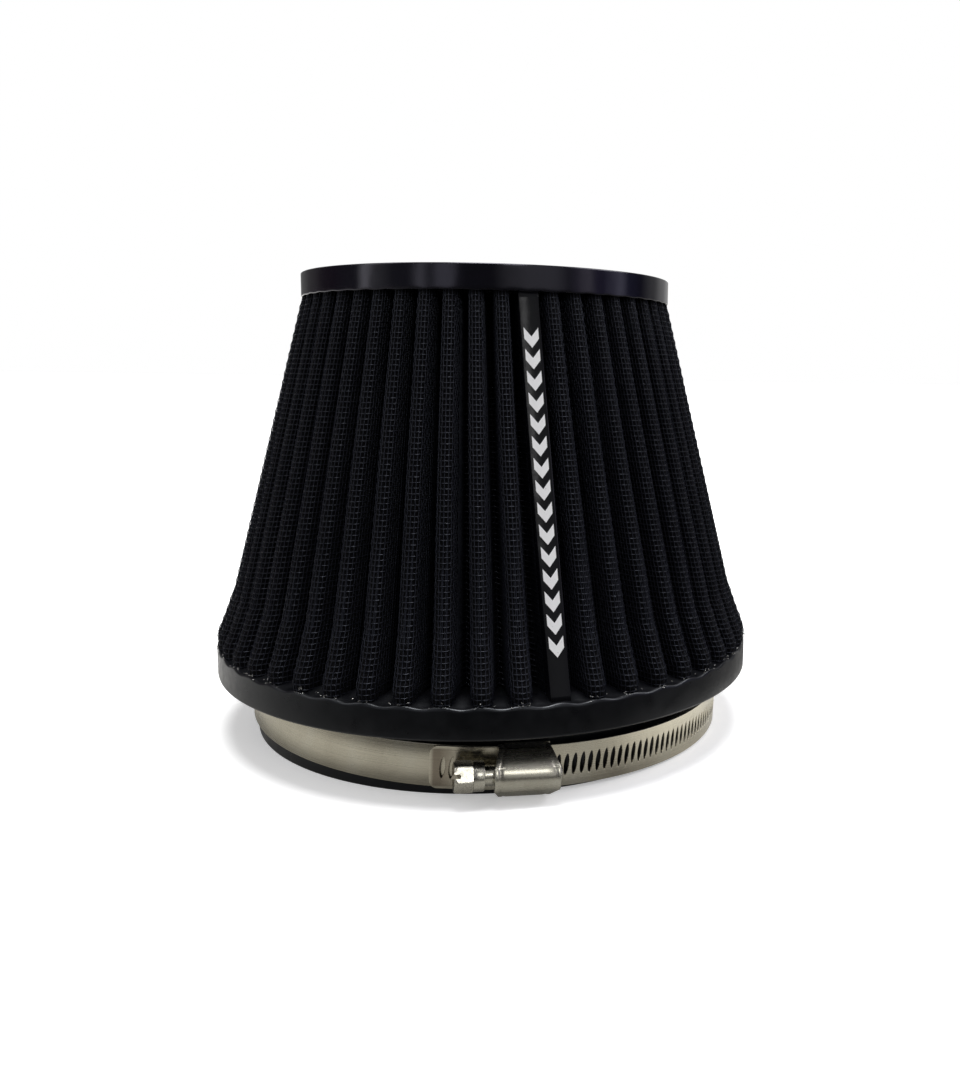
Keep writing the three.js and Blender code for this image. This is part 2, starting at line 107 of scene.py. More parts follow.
BAND_HALF = 6.35
BAND_SHEET = 0.6
BAND_RADIUS = 80.0
SLOTTED_RADIUS = 80.9
SLOT_ANGLE = math.radians(1.8)
SLOTS = 50
TAIL_ANGLE = math.radians(-11.4)
PLAIN_ARC = (math.radians(118), math.radians(362.8))
SLOTTED_END_ANGLE = math.radians(128)
DRIVE_ANGLE = math.radians(6.9)
SCREW_DISTANCE = 85.6
WORM_PITCH = SLOT_ANGLE * (SLOTTED_RADIUS + BAND_SHEET / 2)

clamp_frame = (
    Matrix.Translation((0.2, 0, 9.7))
    @ Matrix.Rotation(math.atan(0.012), 4, "X")
    @ Matrix.Rotation(math.atan(0.032), 4, "Y")
)
drive_frame = clamp_frame @ Matrix.Rotation(DRIVE_ANGLE, 4, "Z")

# ---- Mesh helpers ----


def polar(angle, radius, z):
    """Points at angles from the front, radii and heights, as an array with a last axis of 3."""
    x, y, z = np.broadcast_arrays(radius * np.sin(angle), -radius * np.cos(angle), z)
    return np.stack([x, y, z], axis=-1)


def add_object(name, data):
    obj = bpy.data.objects.new(name, data)
    bpy.context.scene.collection.objects.link(obj)
    return obj


def piece(name, points, faces, material, body, replaces=(), place=None, uv=None, smooth=True):
    """A piece from points in millimetres and a list of arrays of faces."""
    points = np.asarray(points, float).reshape(-1, 3)
    if place is not None:
        turn = np.array(place.to_3x3())
        points = points @ turn.T + np.array(place.translation)
    corners = np.concatenate([np.asarray(f).ravel() for f in faces]).astype(np.int32)
    sizes = np.concatenate([np.full(len(f), np.asarray(f).shape[1]) for f in faces])
    mesh = bpy.data.meshes.new(name)
    mesh.vertices.add(len(points))
    mesh.vertices.foreach_set("co", (points * MM).astype(np.float32).ravel())
    mesh.loops.add(len(corners))
    mesh.loops.foreach_set("vertex_index", corners)
    mesh.polygons.add(len(sizes))
    starts = np.concatenate([[0], np.cumsum(sizes)[:-1]]).astype(np.int32)
    mesh.polygons.foreach_set("loop_start", starts)
    mesh.update(calc_edges=True)
    if uv is not None:
        layer = mesh.uv_layers.new(name="flat")
        layer.data.foreach_set("uv", np.asarray(uv, np.float32)[corners].ravel())
    mesh.polygons.foreach_set("use_smooth", np.full(len(sizes), smooth))
    mesh.materials.append(material)
    obj = add_object(name, mesh)
    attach(obj, body)
    if replaces:
        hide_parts(*replaces)
    return obj


def grid_faces(rows, columns, wrap_rows=False, wrap_columns=False):
    """The quads of a grid of points numbered row by row, facing along rows x columns."""
    r = np.arange(rows if wrap_rows else rows - 1)
    c = np.arange(columns if wrap_columns else columns - 1)
    r, c = np.meshgrid(r, c, indexing="ij")
    r2, c2 = (r + 1) % rows, (c + 1) % columns
    corners = [r * columns + c, r2 * columns + c, r2 * columns + c2, r * columns + c2]
    return np.stack(corners, axis=-1).reshape(-1, 4)


def tube_faces(rows, columns):
    """The sides of a grid whose columns wrap round, and its two ends."""
    ring = np.arange(columns)
    return [grid_faces(rows, columns, False, True), ring[None, ::-1], ring[None] + (rows - 1) * columns]


def filleted(corners, radii, steps):
    """A flat outline whose corners are rounded, apart from those with a radius of 0."""
    corners = [np.array(c, float) for c in corners]
    out = []
    for i, corner in enumerate(corners):
        radius = radii[i] if np.iterable(radii) else radii
        if radius == 0:
            out.append(corner)
            continue
        before, after = corners[i - 1], corners[(i + 1) % len(corners)]
        a, b = before - corner, after - corner
        la, lb = np.linalg.norm(a), np.linalg.norm(b)
        a, b = a / la, b / lb
        half = math.acos(np.clip(a @ b, -1, 1)) / 2
        run = min(radius / math.tan(half), 0.49 * la, 0.49 * lb)
        r = run * math.tan(half)
        bisector = (a + b) / np.linalg.norm(a + b)
        centre = corner + bisector * (r / math.sin(half))
        start, end = corner + a * run - centre, corner + b * run - centre
        sweep = math.atan2(start[0] * end[1] - start[1] * end[0], start @ end)
        for k in range(steps + 1):
            t = sweep * k / steps
            c, s = math.cos(t), math.sin(t)
            out.append(centre + [start[0] * c - start[1] * s, start[0] * s + start[1] * c])
    return np.array(out)


def lathe(name, profile, segments, material, node, shape, hole=True):
    """A turned piece of the filter from its [radius, height] profile: closed, or without a hole and
    with both ends near the axis. shape moves the grid of points, given as angle, radius and height."""
    profile = np.asarray(profile)
    angles = np.arange(segments) * 2 * math.pi / segments
    angle, radius = np.meshgrid(angles, profile[:, 0], indexing="ij")
    radius, height = shape(angle, radius, np.broadcast_to(profile[:, 1], angle.shape))
    faces = [grid_faces(segments, len(profile), True, hole)]
    points = polar(angle, radius, height).reshape(-1, 3)
    if not hole:
        count, n = len(points), len(profile)
        ends = [[0, 0, profile[0, 1]], [0, 0, profile[-1, 1]]]
        points = np.vstack([points, ends])
        here = np.arange(segments)
        after = (here + 1) % segments
        first, last = here * n, here * n + n - 1
        faces.append(np.stack([np.full(segments, count), after * n, first], axis=-1))
        faces.append(np.stack([np.full(segments, count + 1), last, after * n + n - 1], axis=-1))
    piece(name, points, faces, material, "filter", [node])


def wires(centres, normals, across, closed):
    """Points and faces of many round wires at once, each with four sides.
    centres, normals and across have the shape wires x points x 3."""
    count, length, _ = centres.shape
    ring = [normals, across, -normals, -across]
    points = np.stack([centres + WIRE * side for side in ring], axis=2)
    local = grid_faces(length, 4, closed, True)
    step = np.arange(count)[:, None, None] * (length * 4)
    faces = [(local[None] + step).reshape(-1, 4)]
    if not closed:
        ends = np.array([[3, 2, 1, 0], [length * 4 - 4 + i for i in range(4)]])
        faces.append((ends[None] + step).reshape(-1, 4))
    return points.reshape(-1, 3), faces


def unit(v):
    return v / np.linalg.norm(v, axis=-1, keepdims=True)


def boolean_cut(obj, cutters):
    """Cuts closed objects out of a piece, removes them, and drops the faces that a cut doubled."""
    for cutter in cutters:
        cut = obj.modifiers.new("cut", "BOOLEAN")
        cut.operation = "DIFFERENCE"
        cut.solver = "EXACT"
        cut.object = cutter
    bpy.context.view_layer.update()
    evaluated = obj.evaluated_get(bpy.context.evaluated_depsgraph_get())
    mesh = bpy.data.meshes.new_from_object(evaluated)
    mesh.validate()
    obj.modifiers.clear()
    obj.data = mesh
    for cutter in cutters:
        bpy.data.objects.remove(cutter)


def cutter(points, faces, place):
    mesh = bpy.data.meshes.new("cutter")
    mesh.from_pydata([place @ Vector(p) * MM for p in points], [], faces)
    mesh.update()
    return add_object("cutter", mesh)


def block_cutter(low, high, place):
    (x0, y0, z0), (x1, y1, z1) = low, high
    points = [(x, y, z) for x in (x0, x1) for y in (y0, y1) for z in (z0, z1)]
    faces = [(0, 1, 3, 2), (4, 6, 7, 5), (0, 4, 5, 1), (2, 3, 7, 6), (0, 2, 6, 4), (1, 5, 7, 3)]
    return cutter(points, faces, place)


def rod_cutter(radius, start, end, sides=64):
    """A round bar along the screw's axis."""
    ring = [(radius * math.cos(t), radius * math.sin(t)) for t in np.arange(sides) * 2 * math.pi / sides]
    points = [(x, a - SCREW_DISTANCE, b) for x in (start, end) for a, b in ring]
    around = range(sides)
    faces = [(i, (i + 1) % sides, (i + 1) % sides + sides, i + sides) for i in around]
    faces += [tuple(reversed(around)), tuple(i + sides for i in around)]
    return cutter(points, faces, drive_frame)


def soften_by_angle(obj, degrees):
    """Smooth shading with sharp edges where faces meet at more than an angle."""
    bm = bmesh.new()
    bm.from_mesh(obj.data)
    for face in bm.faces:
        face.smooth = True
    for edge in bm.edges:
        if len(edge.link_faces) == 2:
            edge.smooth = edge.calc_face_angle(0) < math.radians(degrees)
    bm.to_mesh(obj.data)
    bm.free()


def face_outward(obj, merge=False):
    """Turns a closed piece's faces outward, and can first merge the points that meet."""
    bm = bmesh.new()
    bm.from_mesh(obj.data)
    if merge:
        bmesh.ops.remove_doubles(bm, verts=bm.verts, dist=1e-6)
    bmesh.ops.recalc_face_normals(bm, faces=bm.faces)
    bm.to_mesh(obj.data)
    bm.free()


def round_edges(obj, width, degrees):
    """Rounds the edges where faces meet at more than an angle."""
    bevel = obj.modifiers.new("edges", "BEVEL")
    bevel.width = width * MM
    bevel.segments = 2
    bevel.limit_method = "ANGLE"
    bevel.angle_limit = math.radians(degrees)


# ---- Materials ----


class Nodes:
    """A node tree, with short calls for the nodes it is made of."""

    def __init__(self, tree):
        self.nodes = tree.nodes
        self.links = tree.links

    def feed(self, sockets, values):
        """Gives each input its value, or a link from another node's output."""
        for socket, value in zip(sockets, values):
            if isinstance(value, bpy.types.NodeSocket):
                self.links.new(value, socket)
            else:
                socket.default_value = value

    def set(self, node, **inputs):
        """Feeds a node's inputs by their names, with _ for a space."""
        self.feed([node.inputs[name.replace("_", " ")] for name in inputs], inputs.values())
        return node

    def add(self, kind, **inputs):
        return self.set(self.nodes.new(kind), **inputs)

    def maths(self, operation, a, b):
        node = self.nodes.new("ShaderNodeMath")
        node.operation = operation
        self.feed(node.inputs, (a, b))
        return node.outputs[0]

    def ramp(self, value, *stops):
        node = self.add("ShaderNodeValToRGB", Fac=value)
        elements = node.color_ramp.elements
        while len(elements) < len(stops):
            elements.new(0.5)
        for element, (position, color) in zip(elements, stops):
            element.position = position
            element.color = (*color, 1)
        return node.outputs["Color"]

    def by_compass(self, coords, stops):
        """A colour that follows the compass angle, from the front (-Y) towards +X, in degrees."""
        split = self.add("ShaderNodeSeparateXYZ", Vector=coords)
        front = self.maths("MULTIPLY", split.outputs["Y"], -1.0)
        turn = self.maths("DIVIDE", self.maths("ARCTAN2", split.outputs["X"], front), 2 * math.pi)
        share = self.maths("ADD", turn, 0.5)
        return self.ramp(share, *((angle / 360 + 0.5, color) for angle, *color in stops))

    def is_camera_ray(self):
        return self.nodes.new("ShaderNodeLightPath").outputs["Is Camera Ray"]

    def mixed(self, share, a, b):
        """One shader where share is 0, and another where it is 1."""
        node = self.nodes.new("ShaderNodeMixShader")
        self.feed(node.inputs, (share, a, b))
        return node.outputs[0]


class Shader(Nodes):
    """One procedural material round a Principled BSDF."""

    def __init__(self, name, uv=False, **sockets):
        self.material = bpy.data.materials.new(name)
        self.material.use_nodes = True
        super().__init__(self.material.node_tree)
        self.bsdf = self.nodes["Principled BSDF"]
        if uv:
            source = self.nodes.new("ShaderNodeUVMap")
            source.uv_map = "flat"
            self.place = source.outputs["UV"]
        else:
            self.place = self.nodes.new("ShaderNodeTexCoord").outputs["Object"]
        self.set(self.bsdf, **sockets)

    def stretched(self, x, y, z):
        return self.add("ShaderNodeMapping", Vector=self.place, Scale=(x, y, z)).outputs["Vector"]

    def noise(self, scale, detail=3.0, roughness=0.55, vector=None):
        place = vector or self.place
        node = self.add("ShaderNodeTexNoise", Vector=place, Scale=scale, Detail=detail, Roughness=roughness)
        return node.outputs["Fac"]

    def voronoi(self, scale):
        return self.add("ShaderNodeTexVoronoi", Vector=self.place, Scale=scale).outputs["Distance"]

    def wave(self, direction):
        """The threads of the gauze, in bands along one direction."""
        node = self.add("ShaderNodeTexWave", Vector=self.place, Scale=0.62, Distortion=0.6)
        node.bands_direction = direction
        return node.outputs["Fac"]

    def ranged(self, value, low, high, start=0.0, end=1.0):
        """A value from start to end, mapped to run from low to high and clamped there."""
        node = self.nodes.new("ShaderNodeMapRange")
        self.feed(node.inputs, (value, start, end, low, high))
        return node.outputs["Result"]

    def blend(self, share, a, b):
        node = self.nodes.new("ShaderNodeMix")
        node.data_type = "RGBA"
        colors = [(*value, 1) if isinstance(value, tuple) else value for value in (a, b)]
        self.feed([node.inputs[i] for i in (0, 6, 7)], [share, *colors])
        return node.outputs[2]

    def color(self, value, *stops):
        """The base colour, either a value or the colours that its range runs through."""
        self.set(self.bsdf, Base_Color=self.ramp(value, *stops) if stops else value)

    def roughness(self, value, low, high, start=0.0, end=1.0):
        self.set(self.bsdf, Roughness=self.ranged(value, low, high, start, end))

    def bump(self, *layers):
        """Bumps on top of each other, each (height, distance in millimetres)."""
        normal = None
        for height, distance in layers:
            node = self.add("ShaderNodeBump", Height=height, Distance=distance * MM)
            if normal:
                self.set(node, Normal=normal)
            normal = node.outputs["Normal"]
        self.set(self.bsdf, Normal=normal)


def rubber_material():
    s = Shader("moulded_rubber", Specular_IOR_Level=0.42, Specular_Tint=(0.9, 0.94, 1.0, 1))
    specks = s.ranged(s.voronoi(900), 1, 0, 0.04, 0.10)
    black = s.ramp(s.noise(60, 4), (0.3, (0.0008, 0.0009, 0.0016)), (0.75, (0.0024, 0.0025, 0.0034)))
    s.color(s.blend(s.maths("MULTIPLY", specks, s.noise(150, 1)), black, (0.028, 0.028, 0.030)))
    s.roughness(s.noise(240, 5), 0.26, 0.40, 0.3, 0.7)
    s.bump((s.noise(110, 2), 0.08), (s.noise(2600, 2), 0.009))
    return s.material


def cap_material():
    s = Shader("gloss_cap", Specular_IOR_Level=0.5, Specular_Tint=(0.86, 0.84, 1.0, 1))
    s.color(s.noise(40), (0.3, (0.0030, 0.0030, 0.0042)), (0.8, (0.0062, 0.0056, 0.0088)))
    scuffs = s.ranged(s.noise(900, 4, 0.7), 0, 1, 0.52, 0.8)
    s.roughness(s.maths("MULTIPLY", scuffs, s.noise(90, 2)), 0.11, 0.26)
    s.bump((s.noise(70, 2), 0.12), (s.noise(1500, 2), 0.004))
    return s.material


def wire_material(name, shade_factor=1.0):
    s = Shader(name, Specular_IOR_Level=0.42, Specular_Tint=(0.78, 0.84, 1.0, 1))
    shades = [
        (0.35, (0.0040, 0.0044, 0.0074)), (0.6, (0.0056, 0.0060, 0.0094)), (0.8, (0.0088, 0.0086, 0.0118)),
    ]
    # shade_factor scales the wire's colours down to make a darker copy: painted shade.
    hue = s.ramp(s.noise(35), *((at, np.multiply(shade, shade_factor)) for at, shade in shades))
    worn = s.ranged(s.noise(1900, 2), 0, 0.5, 0.66, 0.8)
    s.color(s.blend(worn, hue, (0.035, 0.035, 0.040)))
    s.roughness(s.noise(420), 0.27, 0.46, 0.3, 0.7)
    s.bump((s.noise(3500, 2), 0.02),)
    return s.material


def gauze_material():
    s = Shader("cotton_gauze", uv=True, Sheen_Weight=0.03, Sheen_Roughness=0.6, Specular_IOR_Level=0.1)
    weave = s.maths("MAXIMUM", s.wave("X"), s.wave("Y"))
    fuzz = s.noise(9, 4)
    shade = s.ranged(s.noise(0.2, 2), 0, 1, 0.3, 0.7)
    thread = s.blend(shade, (0.0016, 0.0017, 0.0028), (0.0030, 0.0030, 0.0046))
    s.color(s.blend(weave, (0.0006, 0.0006, 0.0010), thread))
    s.roughness(fuzz, 0.8, 1.0)
    s.bump((weave, 0.12), (fuzz, 0.05))
    return s.material


def resin_material():
    s = Shader("potting_resin", Specular_IOR_Level=0.5)
    s.color(s.noise(50, 4), (0.3, (0.010, 0.010, 0.011)), (0.7, (0.022, 0.022, 0.024)))
    s.roughness(s.noise(200), 0.3, 0.6, 0.3, 0.7)
    s.bump((s.noise(90, 2), 0.5), (s.ranged(s.voronoi(420), 0, 1, 0, 0.2), 0.06))
    return s.material


def label_material():
    s = Shader("gloss_label", Specular_IOR_Level=0.13)
    s.color(s.noise(30, 2), (0.3, (0.0042, 0.0044, 0.0054)), (0.8, (0.0068, 0.0070, 0.0082)))
    s.roughness(s.noise(600, 4, 0.7), 0.14, 0.28, 0.35, 0.75)
    s.bump((s.noise(220, 2), 0.05),)
    return s.material


def ink_material():
    s = Shader("label_ink", Specular_IOR_Level=0.4)
    worn = s.ranged(s.noise(1400, 4, 0.7), 0, 1, 0.62, 0.72)
    s.color(s.blend(worn, (0.88, 0.88, 0.87), (0.60, 0.60, 0.60)))
    s.roughness(s.noise(500), 0.34, 0.6)
    s.bump((s.noise(1200, 2), 0.01),)
    return s.material


def strip_material(name, tail=False):
    """Rolled stainless strip, whose UV runs along and across it in millimetres. Soft patches of tone along
    it are a painted reflection. At the slotted end's tail a painted shade darkens it to brown, short of its
    edges."""
    s = Shader(name, uv=True, Metallic=1.0, Anisotropic=0.6)
    rolled = s.noise(1.0, 5, 0.7, s.stretched(0.05, 14, 1))
    drawn = s.noise(1.0, 3, 0.6, s.stretched(0.012, 3, 1))
    # Soft lighter and darker patches along the strip: a painted reflection, at random places.
    reflection_patches = s.noise(0.06, 3, vector=s.stretched(1, 0.5, 1))
    shades = [(0.3, (0.50, 0.465, 0.37)), (0.55, (0.57, 0.535, 0.43)), (0.8, (0.63, 0.61, 0.52))]
    steel = s.ramp(reflection_patches, *shades)
    stain = s.ranged(s.noise(0.9, 5, 0.7, s.stretched(1, 1, 1)), 0, 0.3, 0.56, 0.78)
    steel = s.blend(stain, steel, (0.40, 0.35, 0.27))
    if tail:
        # Painted shade on the tail: darker and browner towards its end, but not along its edges.
        split = s.add("ShaderNodeSeparateXYZ", Vector=s.place)
        run, height = split.outputs["X"], s.maths("ABSOLUTE", split.outputs["Y"], 0)
        painted_shade_margin = s.maths("MULTIPLY", s.ranged(run, 0, 1, -16.6, -15.6), s.ranged(height, 1, 0, 5.3, 6.0))
        shade = s.maths("MULTIPLY", painted_shade_margin, s.ranged(run, 0.85, 0, -14, -7))
        steel = s.blend(shade, steel, (0.20, 0.165, 0.125))
    s.color(steel)
    s.roughness(s.maths("ADD", rolled, drawn), 0.16, 0.32, 0.7, 1.3)
    s.bump((rolled, 0.003), (drawn, 0.004))
    return s.material


def pressed_material():
    s = Shader("pressed_stainless", Metallic=1.0)
    drawn = s.noise(1.0, 3, 0.5, s.stretched(120, 900, 2600))
    shades = [(0.3, (0.46, 0.44, 0.365)), (0.6, (0.54, 0.52, 0.44)), (0.85, (0.60, 0.585, 0.51))]
    steel = s.ramp(s.noise(160), *shades)
    grime = s.ranged(s.noise(420), 0, 0.3, 0.55, 0.8)
    s.color(s.blend(grime, steel, (0.34, 0.31, 0.25)))
    s.roughness(drawn, 0.25, 0.30, 0.3, 0.7)
    s.bump((s.noise(200, 1), 0.003),)
    return s.material


def plated_material():
    s = Shader("zinc_plating", Metallic=1.0)
    s.color(s.noise(320, 4), (0.3, (0.47, 0.45, 0.38)), (0.7, (0.60, 0.58, 0.50)))
    s.roughness(s.noise(1300), 0.20, 0.32, 0.3, 0.7)
    s.bump((s.noise(1600), 0.003),)
    return s.material


def bare_wire_material():
    s = Shader("cut_wire_ends", Metallic=1.0)
    s.color(s.noise(1500, 2), (0.4, (0.10, 0.10, 0.11)), (0.65, (0.80, 0.79, 0.75)))
    s.roughness(s.noise(2500, 2), 0.2, 0.45)
    return s.material


RUBBER = rubber_material()
GLOSS = cap_material()
OUTER_WIRE = wire_material("coated_wire")
# The inner screen's wire is the same wire at 0.8 of the brightness: painted shade inside the cone.
INNER_WIRE = wire_material("coated_wire_inside_shaded", 0.8)
GAUZE = gauze_material()
RESIN = resin_material()
LABEL = label_material()
INK = ink_material()
STRIP = strip_material("stainless_strip")
# The punched strip carries the painted shade at its tail.
PUNCHED = strip_material("punched_strip", tail=True)
PRESSED = pressed_material()
PLATED = plated_material()
BARE = bare_wire_material()

# ---- Pleats ----


def half_pleat(crest, valley, half, samples):
    """Angles from a crest's middle and radii along half a pleat, evenly spaced along it."""
    quarter = np.linspace(0, math.pi / 2, 24)
    crest_drop = 0.9 * half
    valley_half = VALLEY_SHARE * PITCH * valley
    crest_angle = half * np.sin(quarter) / crest
    valley_angle = PITCH / 2 - valley_half * np.cos(quarter) / valley
    angle = np.concatenate([crest_angle, valley_angle])
    crest_radius = crest - crest_drop * (1 - np.cos(quarter))
    valley_radius = valley + valley_half * (1 - np.sin(quarter))
    radius = np.concatenate([crest_radius, valley_radius])
    x, y = radius * np.sin(angle), radius * np.cos(angle)
    run = np.concatenate([[0], np.cumsum(np.hypot(np.diff(x), np.diff(y)))])
    even = np.linspace(0, run[-1], samples + 1)
    return np.interp(even, run, angle), np.interp(even, run, radius)


def share_at(z):
    """How far up the pleats a height is, from 0 to 1."""
    return (z - FOOT["z"]) / (HEAD["z"] - FOOT["z"])


def cone_radius(name, share):
    return FOOT[name] + share * (HEAD[name] - FOOT[name])


def pleat_ends(samples, seam):
    """The half pleat at the foot and at the head."""
    ends = []
    for end in (FOOT, HEAD):
        crest = end["crest"] - (SEAM_DROP if seam else 0)
        half = SEAM_HALF if seam else CREST_SHARE * PITCH * end["crest"]
        ends.append(half_pleat(crest, end["valley"], half, samples))
    return ends


def pleat_surface(heights, samples):
    """Angles and radii of the pack's outer face at heights, for 2 * samples points of each pleat,
    from a valley over its crest."""
    share = share_at(heights)
    indices = np.arange(-samples, samples)
    side = np.sign(indices)
    step = np.abs(indices)
    above = heights - BASE_TOP
    swollen = np.interp(above, *zip(*FOOT_SWELL), right=0)
    rows = []
    for k in range(PLEATS):
        (foot_angle, foot_radius), (head_angle, head_radius) = pleat_ends(samples, k == SEAM_PLEAT)
        angle = foot_angle[step] + np.outer(share, (head_angle - foot_angle)[step])
        radius = foot_radius[step] + np.outer(share, (head_radius - foot_radius)[step])
        if k != SEAM_PLEAT:
            crest, valley = cone_radius("crest", share), cone_radius("valley", share)
            extra = np.maximum(swollen - crest, 0)
            radius = radius + extra[:, None] * (radius - valley[:, None]) / (crest - valley)[:, None]
        middle = PHASE + TWIST * share + k * PITCH
        rows.append((middle[:, None] + side * angle, radius))
    return np.concatenate([a for a, _ in rows], axis=1), np.concatenate([r for _, r in rows], axis=1)


def pack_face(heights, samples):
    """The pack's outer face: closed loops of points at heights, which may go a little past the
    pleats' ends, and the loops' unit normals and tangents."""
    angle, radius = pleat_surface(np.clip(heights, FOOT["z"], HEAD["z"]), samples)
    points = polar(angle, radius, heights[:, None])
    along = np.roll(points, -1, axis=1) - np.roll(points, 1, axis=1)
    normal = np.stack([along[..., 1], -along[..., 0], np.zeros(along.shape[:2])], axis=-1)
    return points, unit(normal), unit(along)


def woven_screen(node, depth, material, woven):
    """A pleated wire cloth: closed weft wires round the pack, and warp wires up along it. woven is
    how many wires on each side of a crest pass over and under each other."""
    count = int((HEAD["z"] - FOOT["z"] - 1.0) / WEFT_PITCH)
    heights = FOOT["z"] + 0.6 + WEFT_PITCH * np.arange(count + 1)
    surface, normal, along = pack_face(heights, WARPS_PER_HALF)
    surface = surface - normal * depth
    from_crest = np.abs(np.arange(-WARPS_PER_HALF, WARPS_PER_HALF))
    near = from_crest <= woven
    # Near a crest the wefts pass over and under the warps, and elsewhere they lie just inside them.
    over = np.where(np.indices((len(heights), len(near))).sum(axis=0) % 2, 1.0, -1.0)
    lift = np.tile(np.where(near, over, -0.2), PLEATS)[..., None] * WEAVE - PROUD

    # Away from a crest a weft keeps every third point, counted from the valley.
    kept = np.tile(near | (from_crest % 3 == WARPS_PER_HALF % 3), PLEATS)
    weft = (surface + normal * lift)[:, kept]
    up = np.broadcast_to([0, 0, 1.0], weft.shape)
    for i, rows in enumerate(np.array_split(np.arange(len(heights)), 4 if woven else 2)):
        points, faces = wires(weft[rows], normal[rows][:, kept], up[rows], True)
        piece(f"{node}_weft_{i + 1}", points, faces, material, "filter")

    warp = surface - normal * lift
    ends = np.array([FOOT["z"] - 0.4, HEAD["z"] + 0.2])
    end_surface, end_normal, end_along = pack_face(ends, WARPS_PER_HALF)
    end_surface = end_surface - end_normal * depth
    weaves = np.tile(near, PLEATS)
    # A warp that doesn't weave bends only at its foot, where the pleats swell out.
    bends = [0, 3, 5, len(heights) - 1]
    for label, columns, levels, count in (
        ("warp", weaves, np.arange(len(heights)), 3 if woven else 1),
        ("flank", ~weaves, bends, 1),
    ):
        for i, chosen in enumerate(np.array_split(np.flatnonzero(columns), count)):
            stack = [
                np.concatenate([e[:1, chosen], m[levels][:, chosen], e[1:, chosen]]).transpose(1, 0, 2)
                for e, m in ((end_surface, warp), (end_normal, normal), (end_along, along))
            ]
            points, faces = wires(*stack, False)
            name = f"{node}_{label}_{i + 1}"
            piece(name, points, faces, material, "filter")
    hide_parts(node)


def gauze_pack():
    """The pleated cotton blanket between the screens, as a closed sheet."""
    samples, sample_run = 11, 1.55
    foot = FOOT["z"] + np.array([0, 2.5, 4.5, 6, 7.5, 9])
    heights = np.concatenate([foot, np.linspace(48, HEAD["z"], 9)])
    surface, normal, _ = pack_face(heights, samples)
    outer, inner = (surface - normal * depth for depth in GAUZE_DEPTHS)
    rows, columns = outer.shape[:2]
    section = np.concatenate([inner[::-1], outer])
    faces = grid_faces(2 * rows, columns, True, True)[:, ::-1]
    run = np.tile(np.arange(columns) * sample_run, (2 * rows, 1))
    rise = np.concatenate([heights[::-1], heights])[:, None] + np.zeros((1, columns))
    uv = np.stack([run, rise], axis=-1).reshape(-1, 2)
    piece("gauze_pack", section, [faces], GAUZE, "filter", ["gauze_media"], uv=uv)


def cut_wire_ends():
    """Short bare ends of the cloth that stick out round its foot."""
    foot_radius = 91.25
    centres, normals, across = [], [], []
    for k in range(PLEATS):
        if k == SEAM_PLEAT:
            continue
        for _ in range(rng.integers(4, 8)):
            angle = PHASE + k * PITCH + rng.uniform(-0.3, 0.3) * PITCH
            radius = foot_radius + rng.uniform(-0.5, 0.1)
            start = polar(angle, radius, BASE_TOP + rng.uniform(0.1, 1.5))
            lean = np.array([rng.uniform(-1, 1), rng.uniform(-1, 1), rng.uniform(-0.6, 1)])
            reach = polar(angle, 1.0, 0) * 0.4 + lean * 0.6
            end = start + unit(reach) * rng.uniform(0.3, 0.75)
            direction = unit(end - start)
            side = unit(np.cross(direction, [0.3, 0.2, 0.9]))
            up = np.cross(direction, side)
            centres.append([start, (start + end) / 2, end])
            normals.append([side] * 3)
            across.append([up] * 3)
    points, faces = wires(np.array(centres), np.array(normals), np.array(across), False)
    piece("cut_wire_ends", points, faces, BARE, "filter")


# ---- Moulded base, cap and potting ----


def scallop(angle):
    """1 under a crest and -1 under a valley."""
    return np.cos((angle - PHASE) * PLEATS)


def base_shape(angle, radius, height):
    """The ring's upper edge rises where a crest stands on it, and the rubber fills the valleys."""
    top = np.clip((height - (BASE_TOP - 1.2)) / 1.0, 0, 1)
    rim = np.clip((radius - 88.0) / 2.0, 0, 1)
    rise = top * (rim * (0.22 + 0.33 * scallop(angle)) + (1 - rim) * (0.9 - 0.5 * scallop(angle)))
    waves = 0.05 * np.sin(7 * angle + 1) + 0.04 * np.sin(17 * angle) + 0.03 * np.sin(31 * angle)
    outer = np.clip((radius - 85.0) / 5.0, 0, 1)
    return radius + waves * outer * 0.8, height + rise + 0.5 * waves * outer


def base():
    corners = [
        (BORE_RADIUS, 0), (NECK_RADIUS, 0), (NECK_RADIUS, RING_BOTTOM), (BASE_RADIUS, RING_BOTTOM),
        (BASE_RADIUS, BASE_TOP), (89.5, BASE_TOP), (86, BASE_TOP), (82, BASE_TOP), (CORE_RADIUS, BASE_TOP),
        (CORE_RADIUS, RING_BOTTOM + 4), (BORE_RADIUS, RING_BOTTOM + 2),
    ]
    radii = [0.7, 0.7, 0.5, 0.75, 0.9, 0, 0, 0, 0.6, 0.6, 0.6]
    profile = filleted(corners, radii, 6)
    lathe("moulded_base", profile, PLEATS * 12, RUBBER, "base_flange", base_shape)


def cap_shape(angle, radius, height):
    """The rim isn't perfectly round or level: slow waves a few hundredths of a millimetre deep."""
    rim = np.clip((radius - 55) / 5, 0, 1)
    waves = 0.045 * np.sin(9 * angle) + 0.035 * np.sin(14 * angle + 2) + 0.02 * np.sin(37 * angle)
    low = np.clip((CAP_BOTTOM + 1.0 - height) / 1.0, 0, 1)
    drop = 0.10 * np.cos((angle - PHASE - TWIST) * PLEATS)
    return radius + waves * rim, height - low * rim * (0.12 + drop)


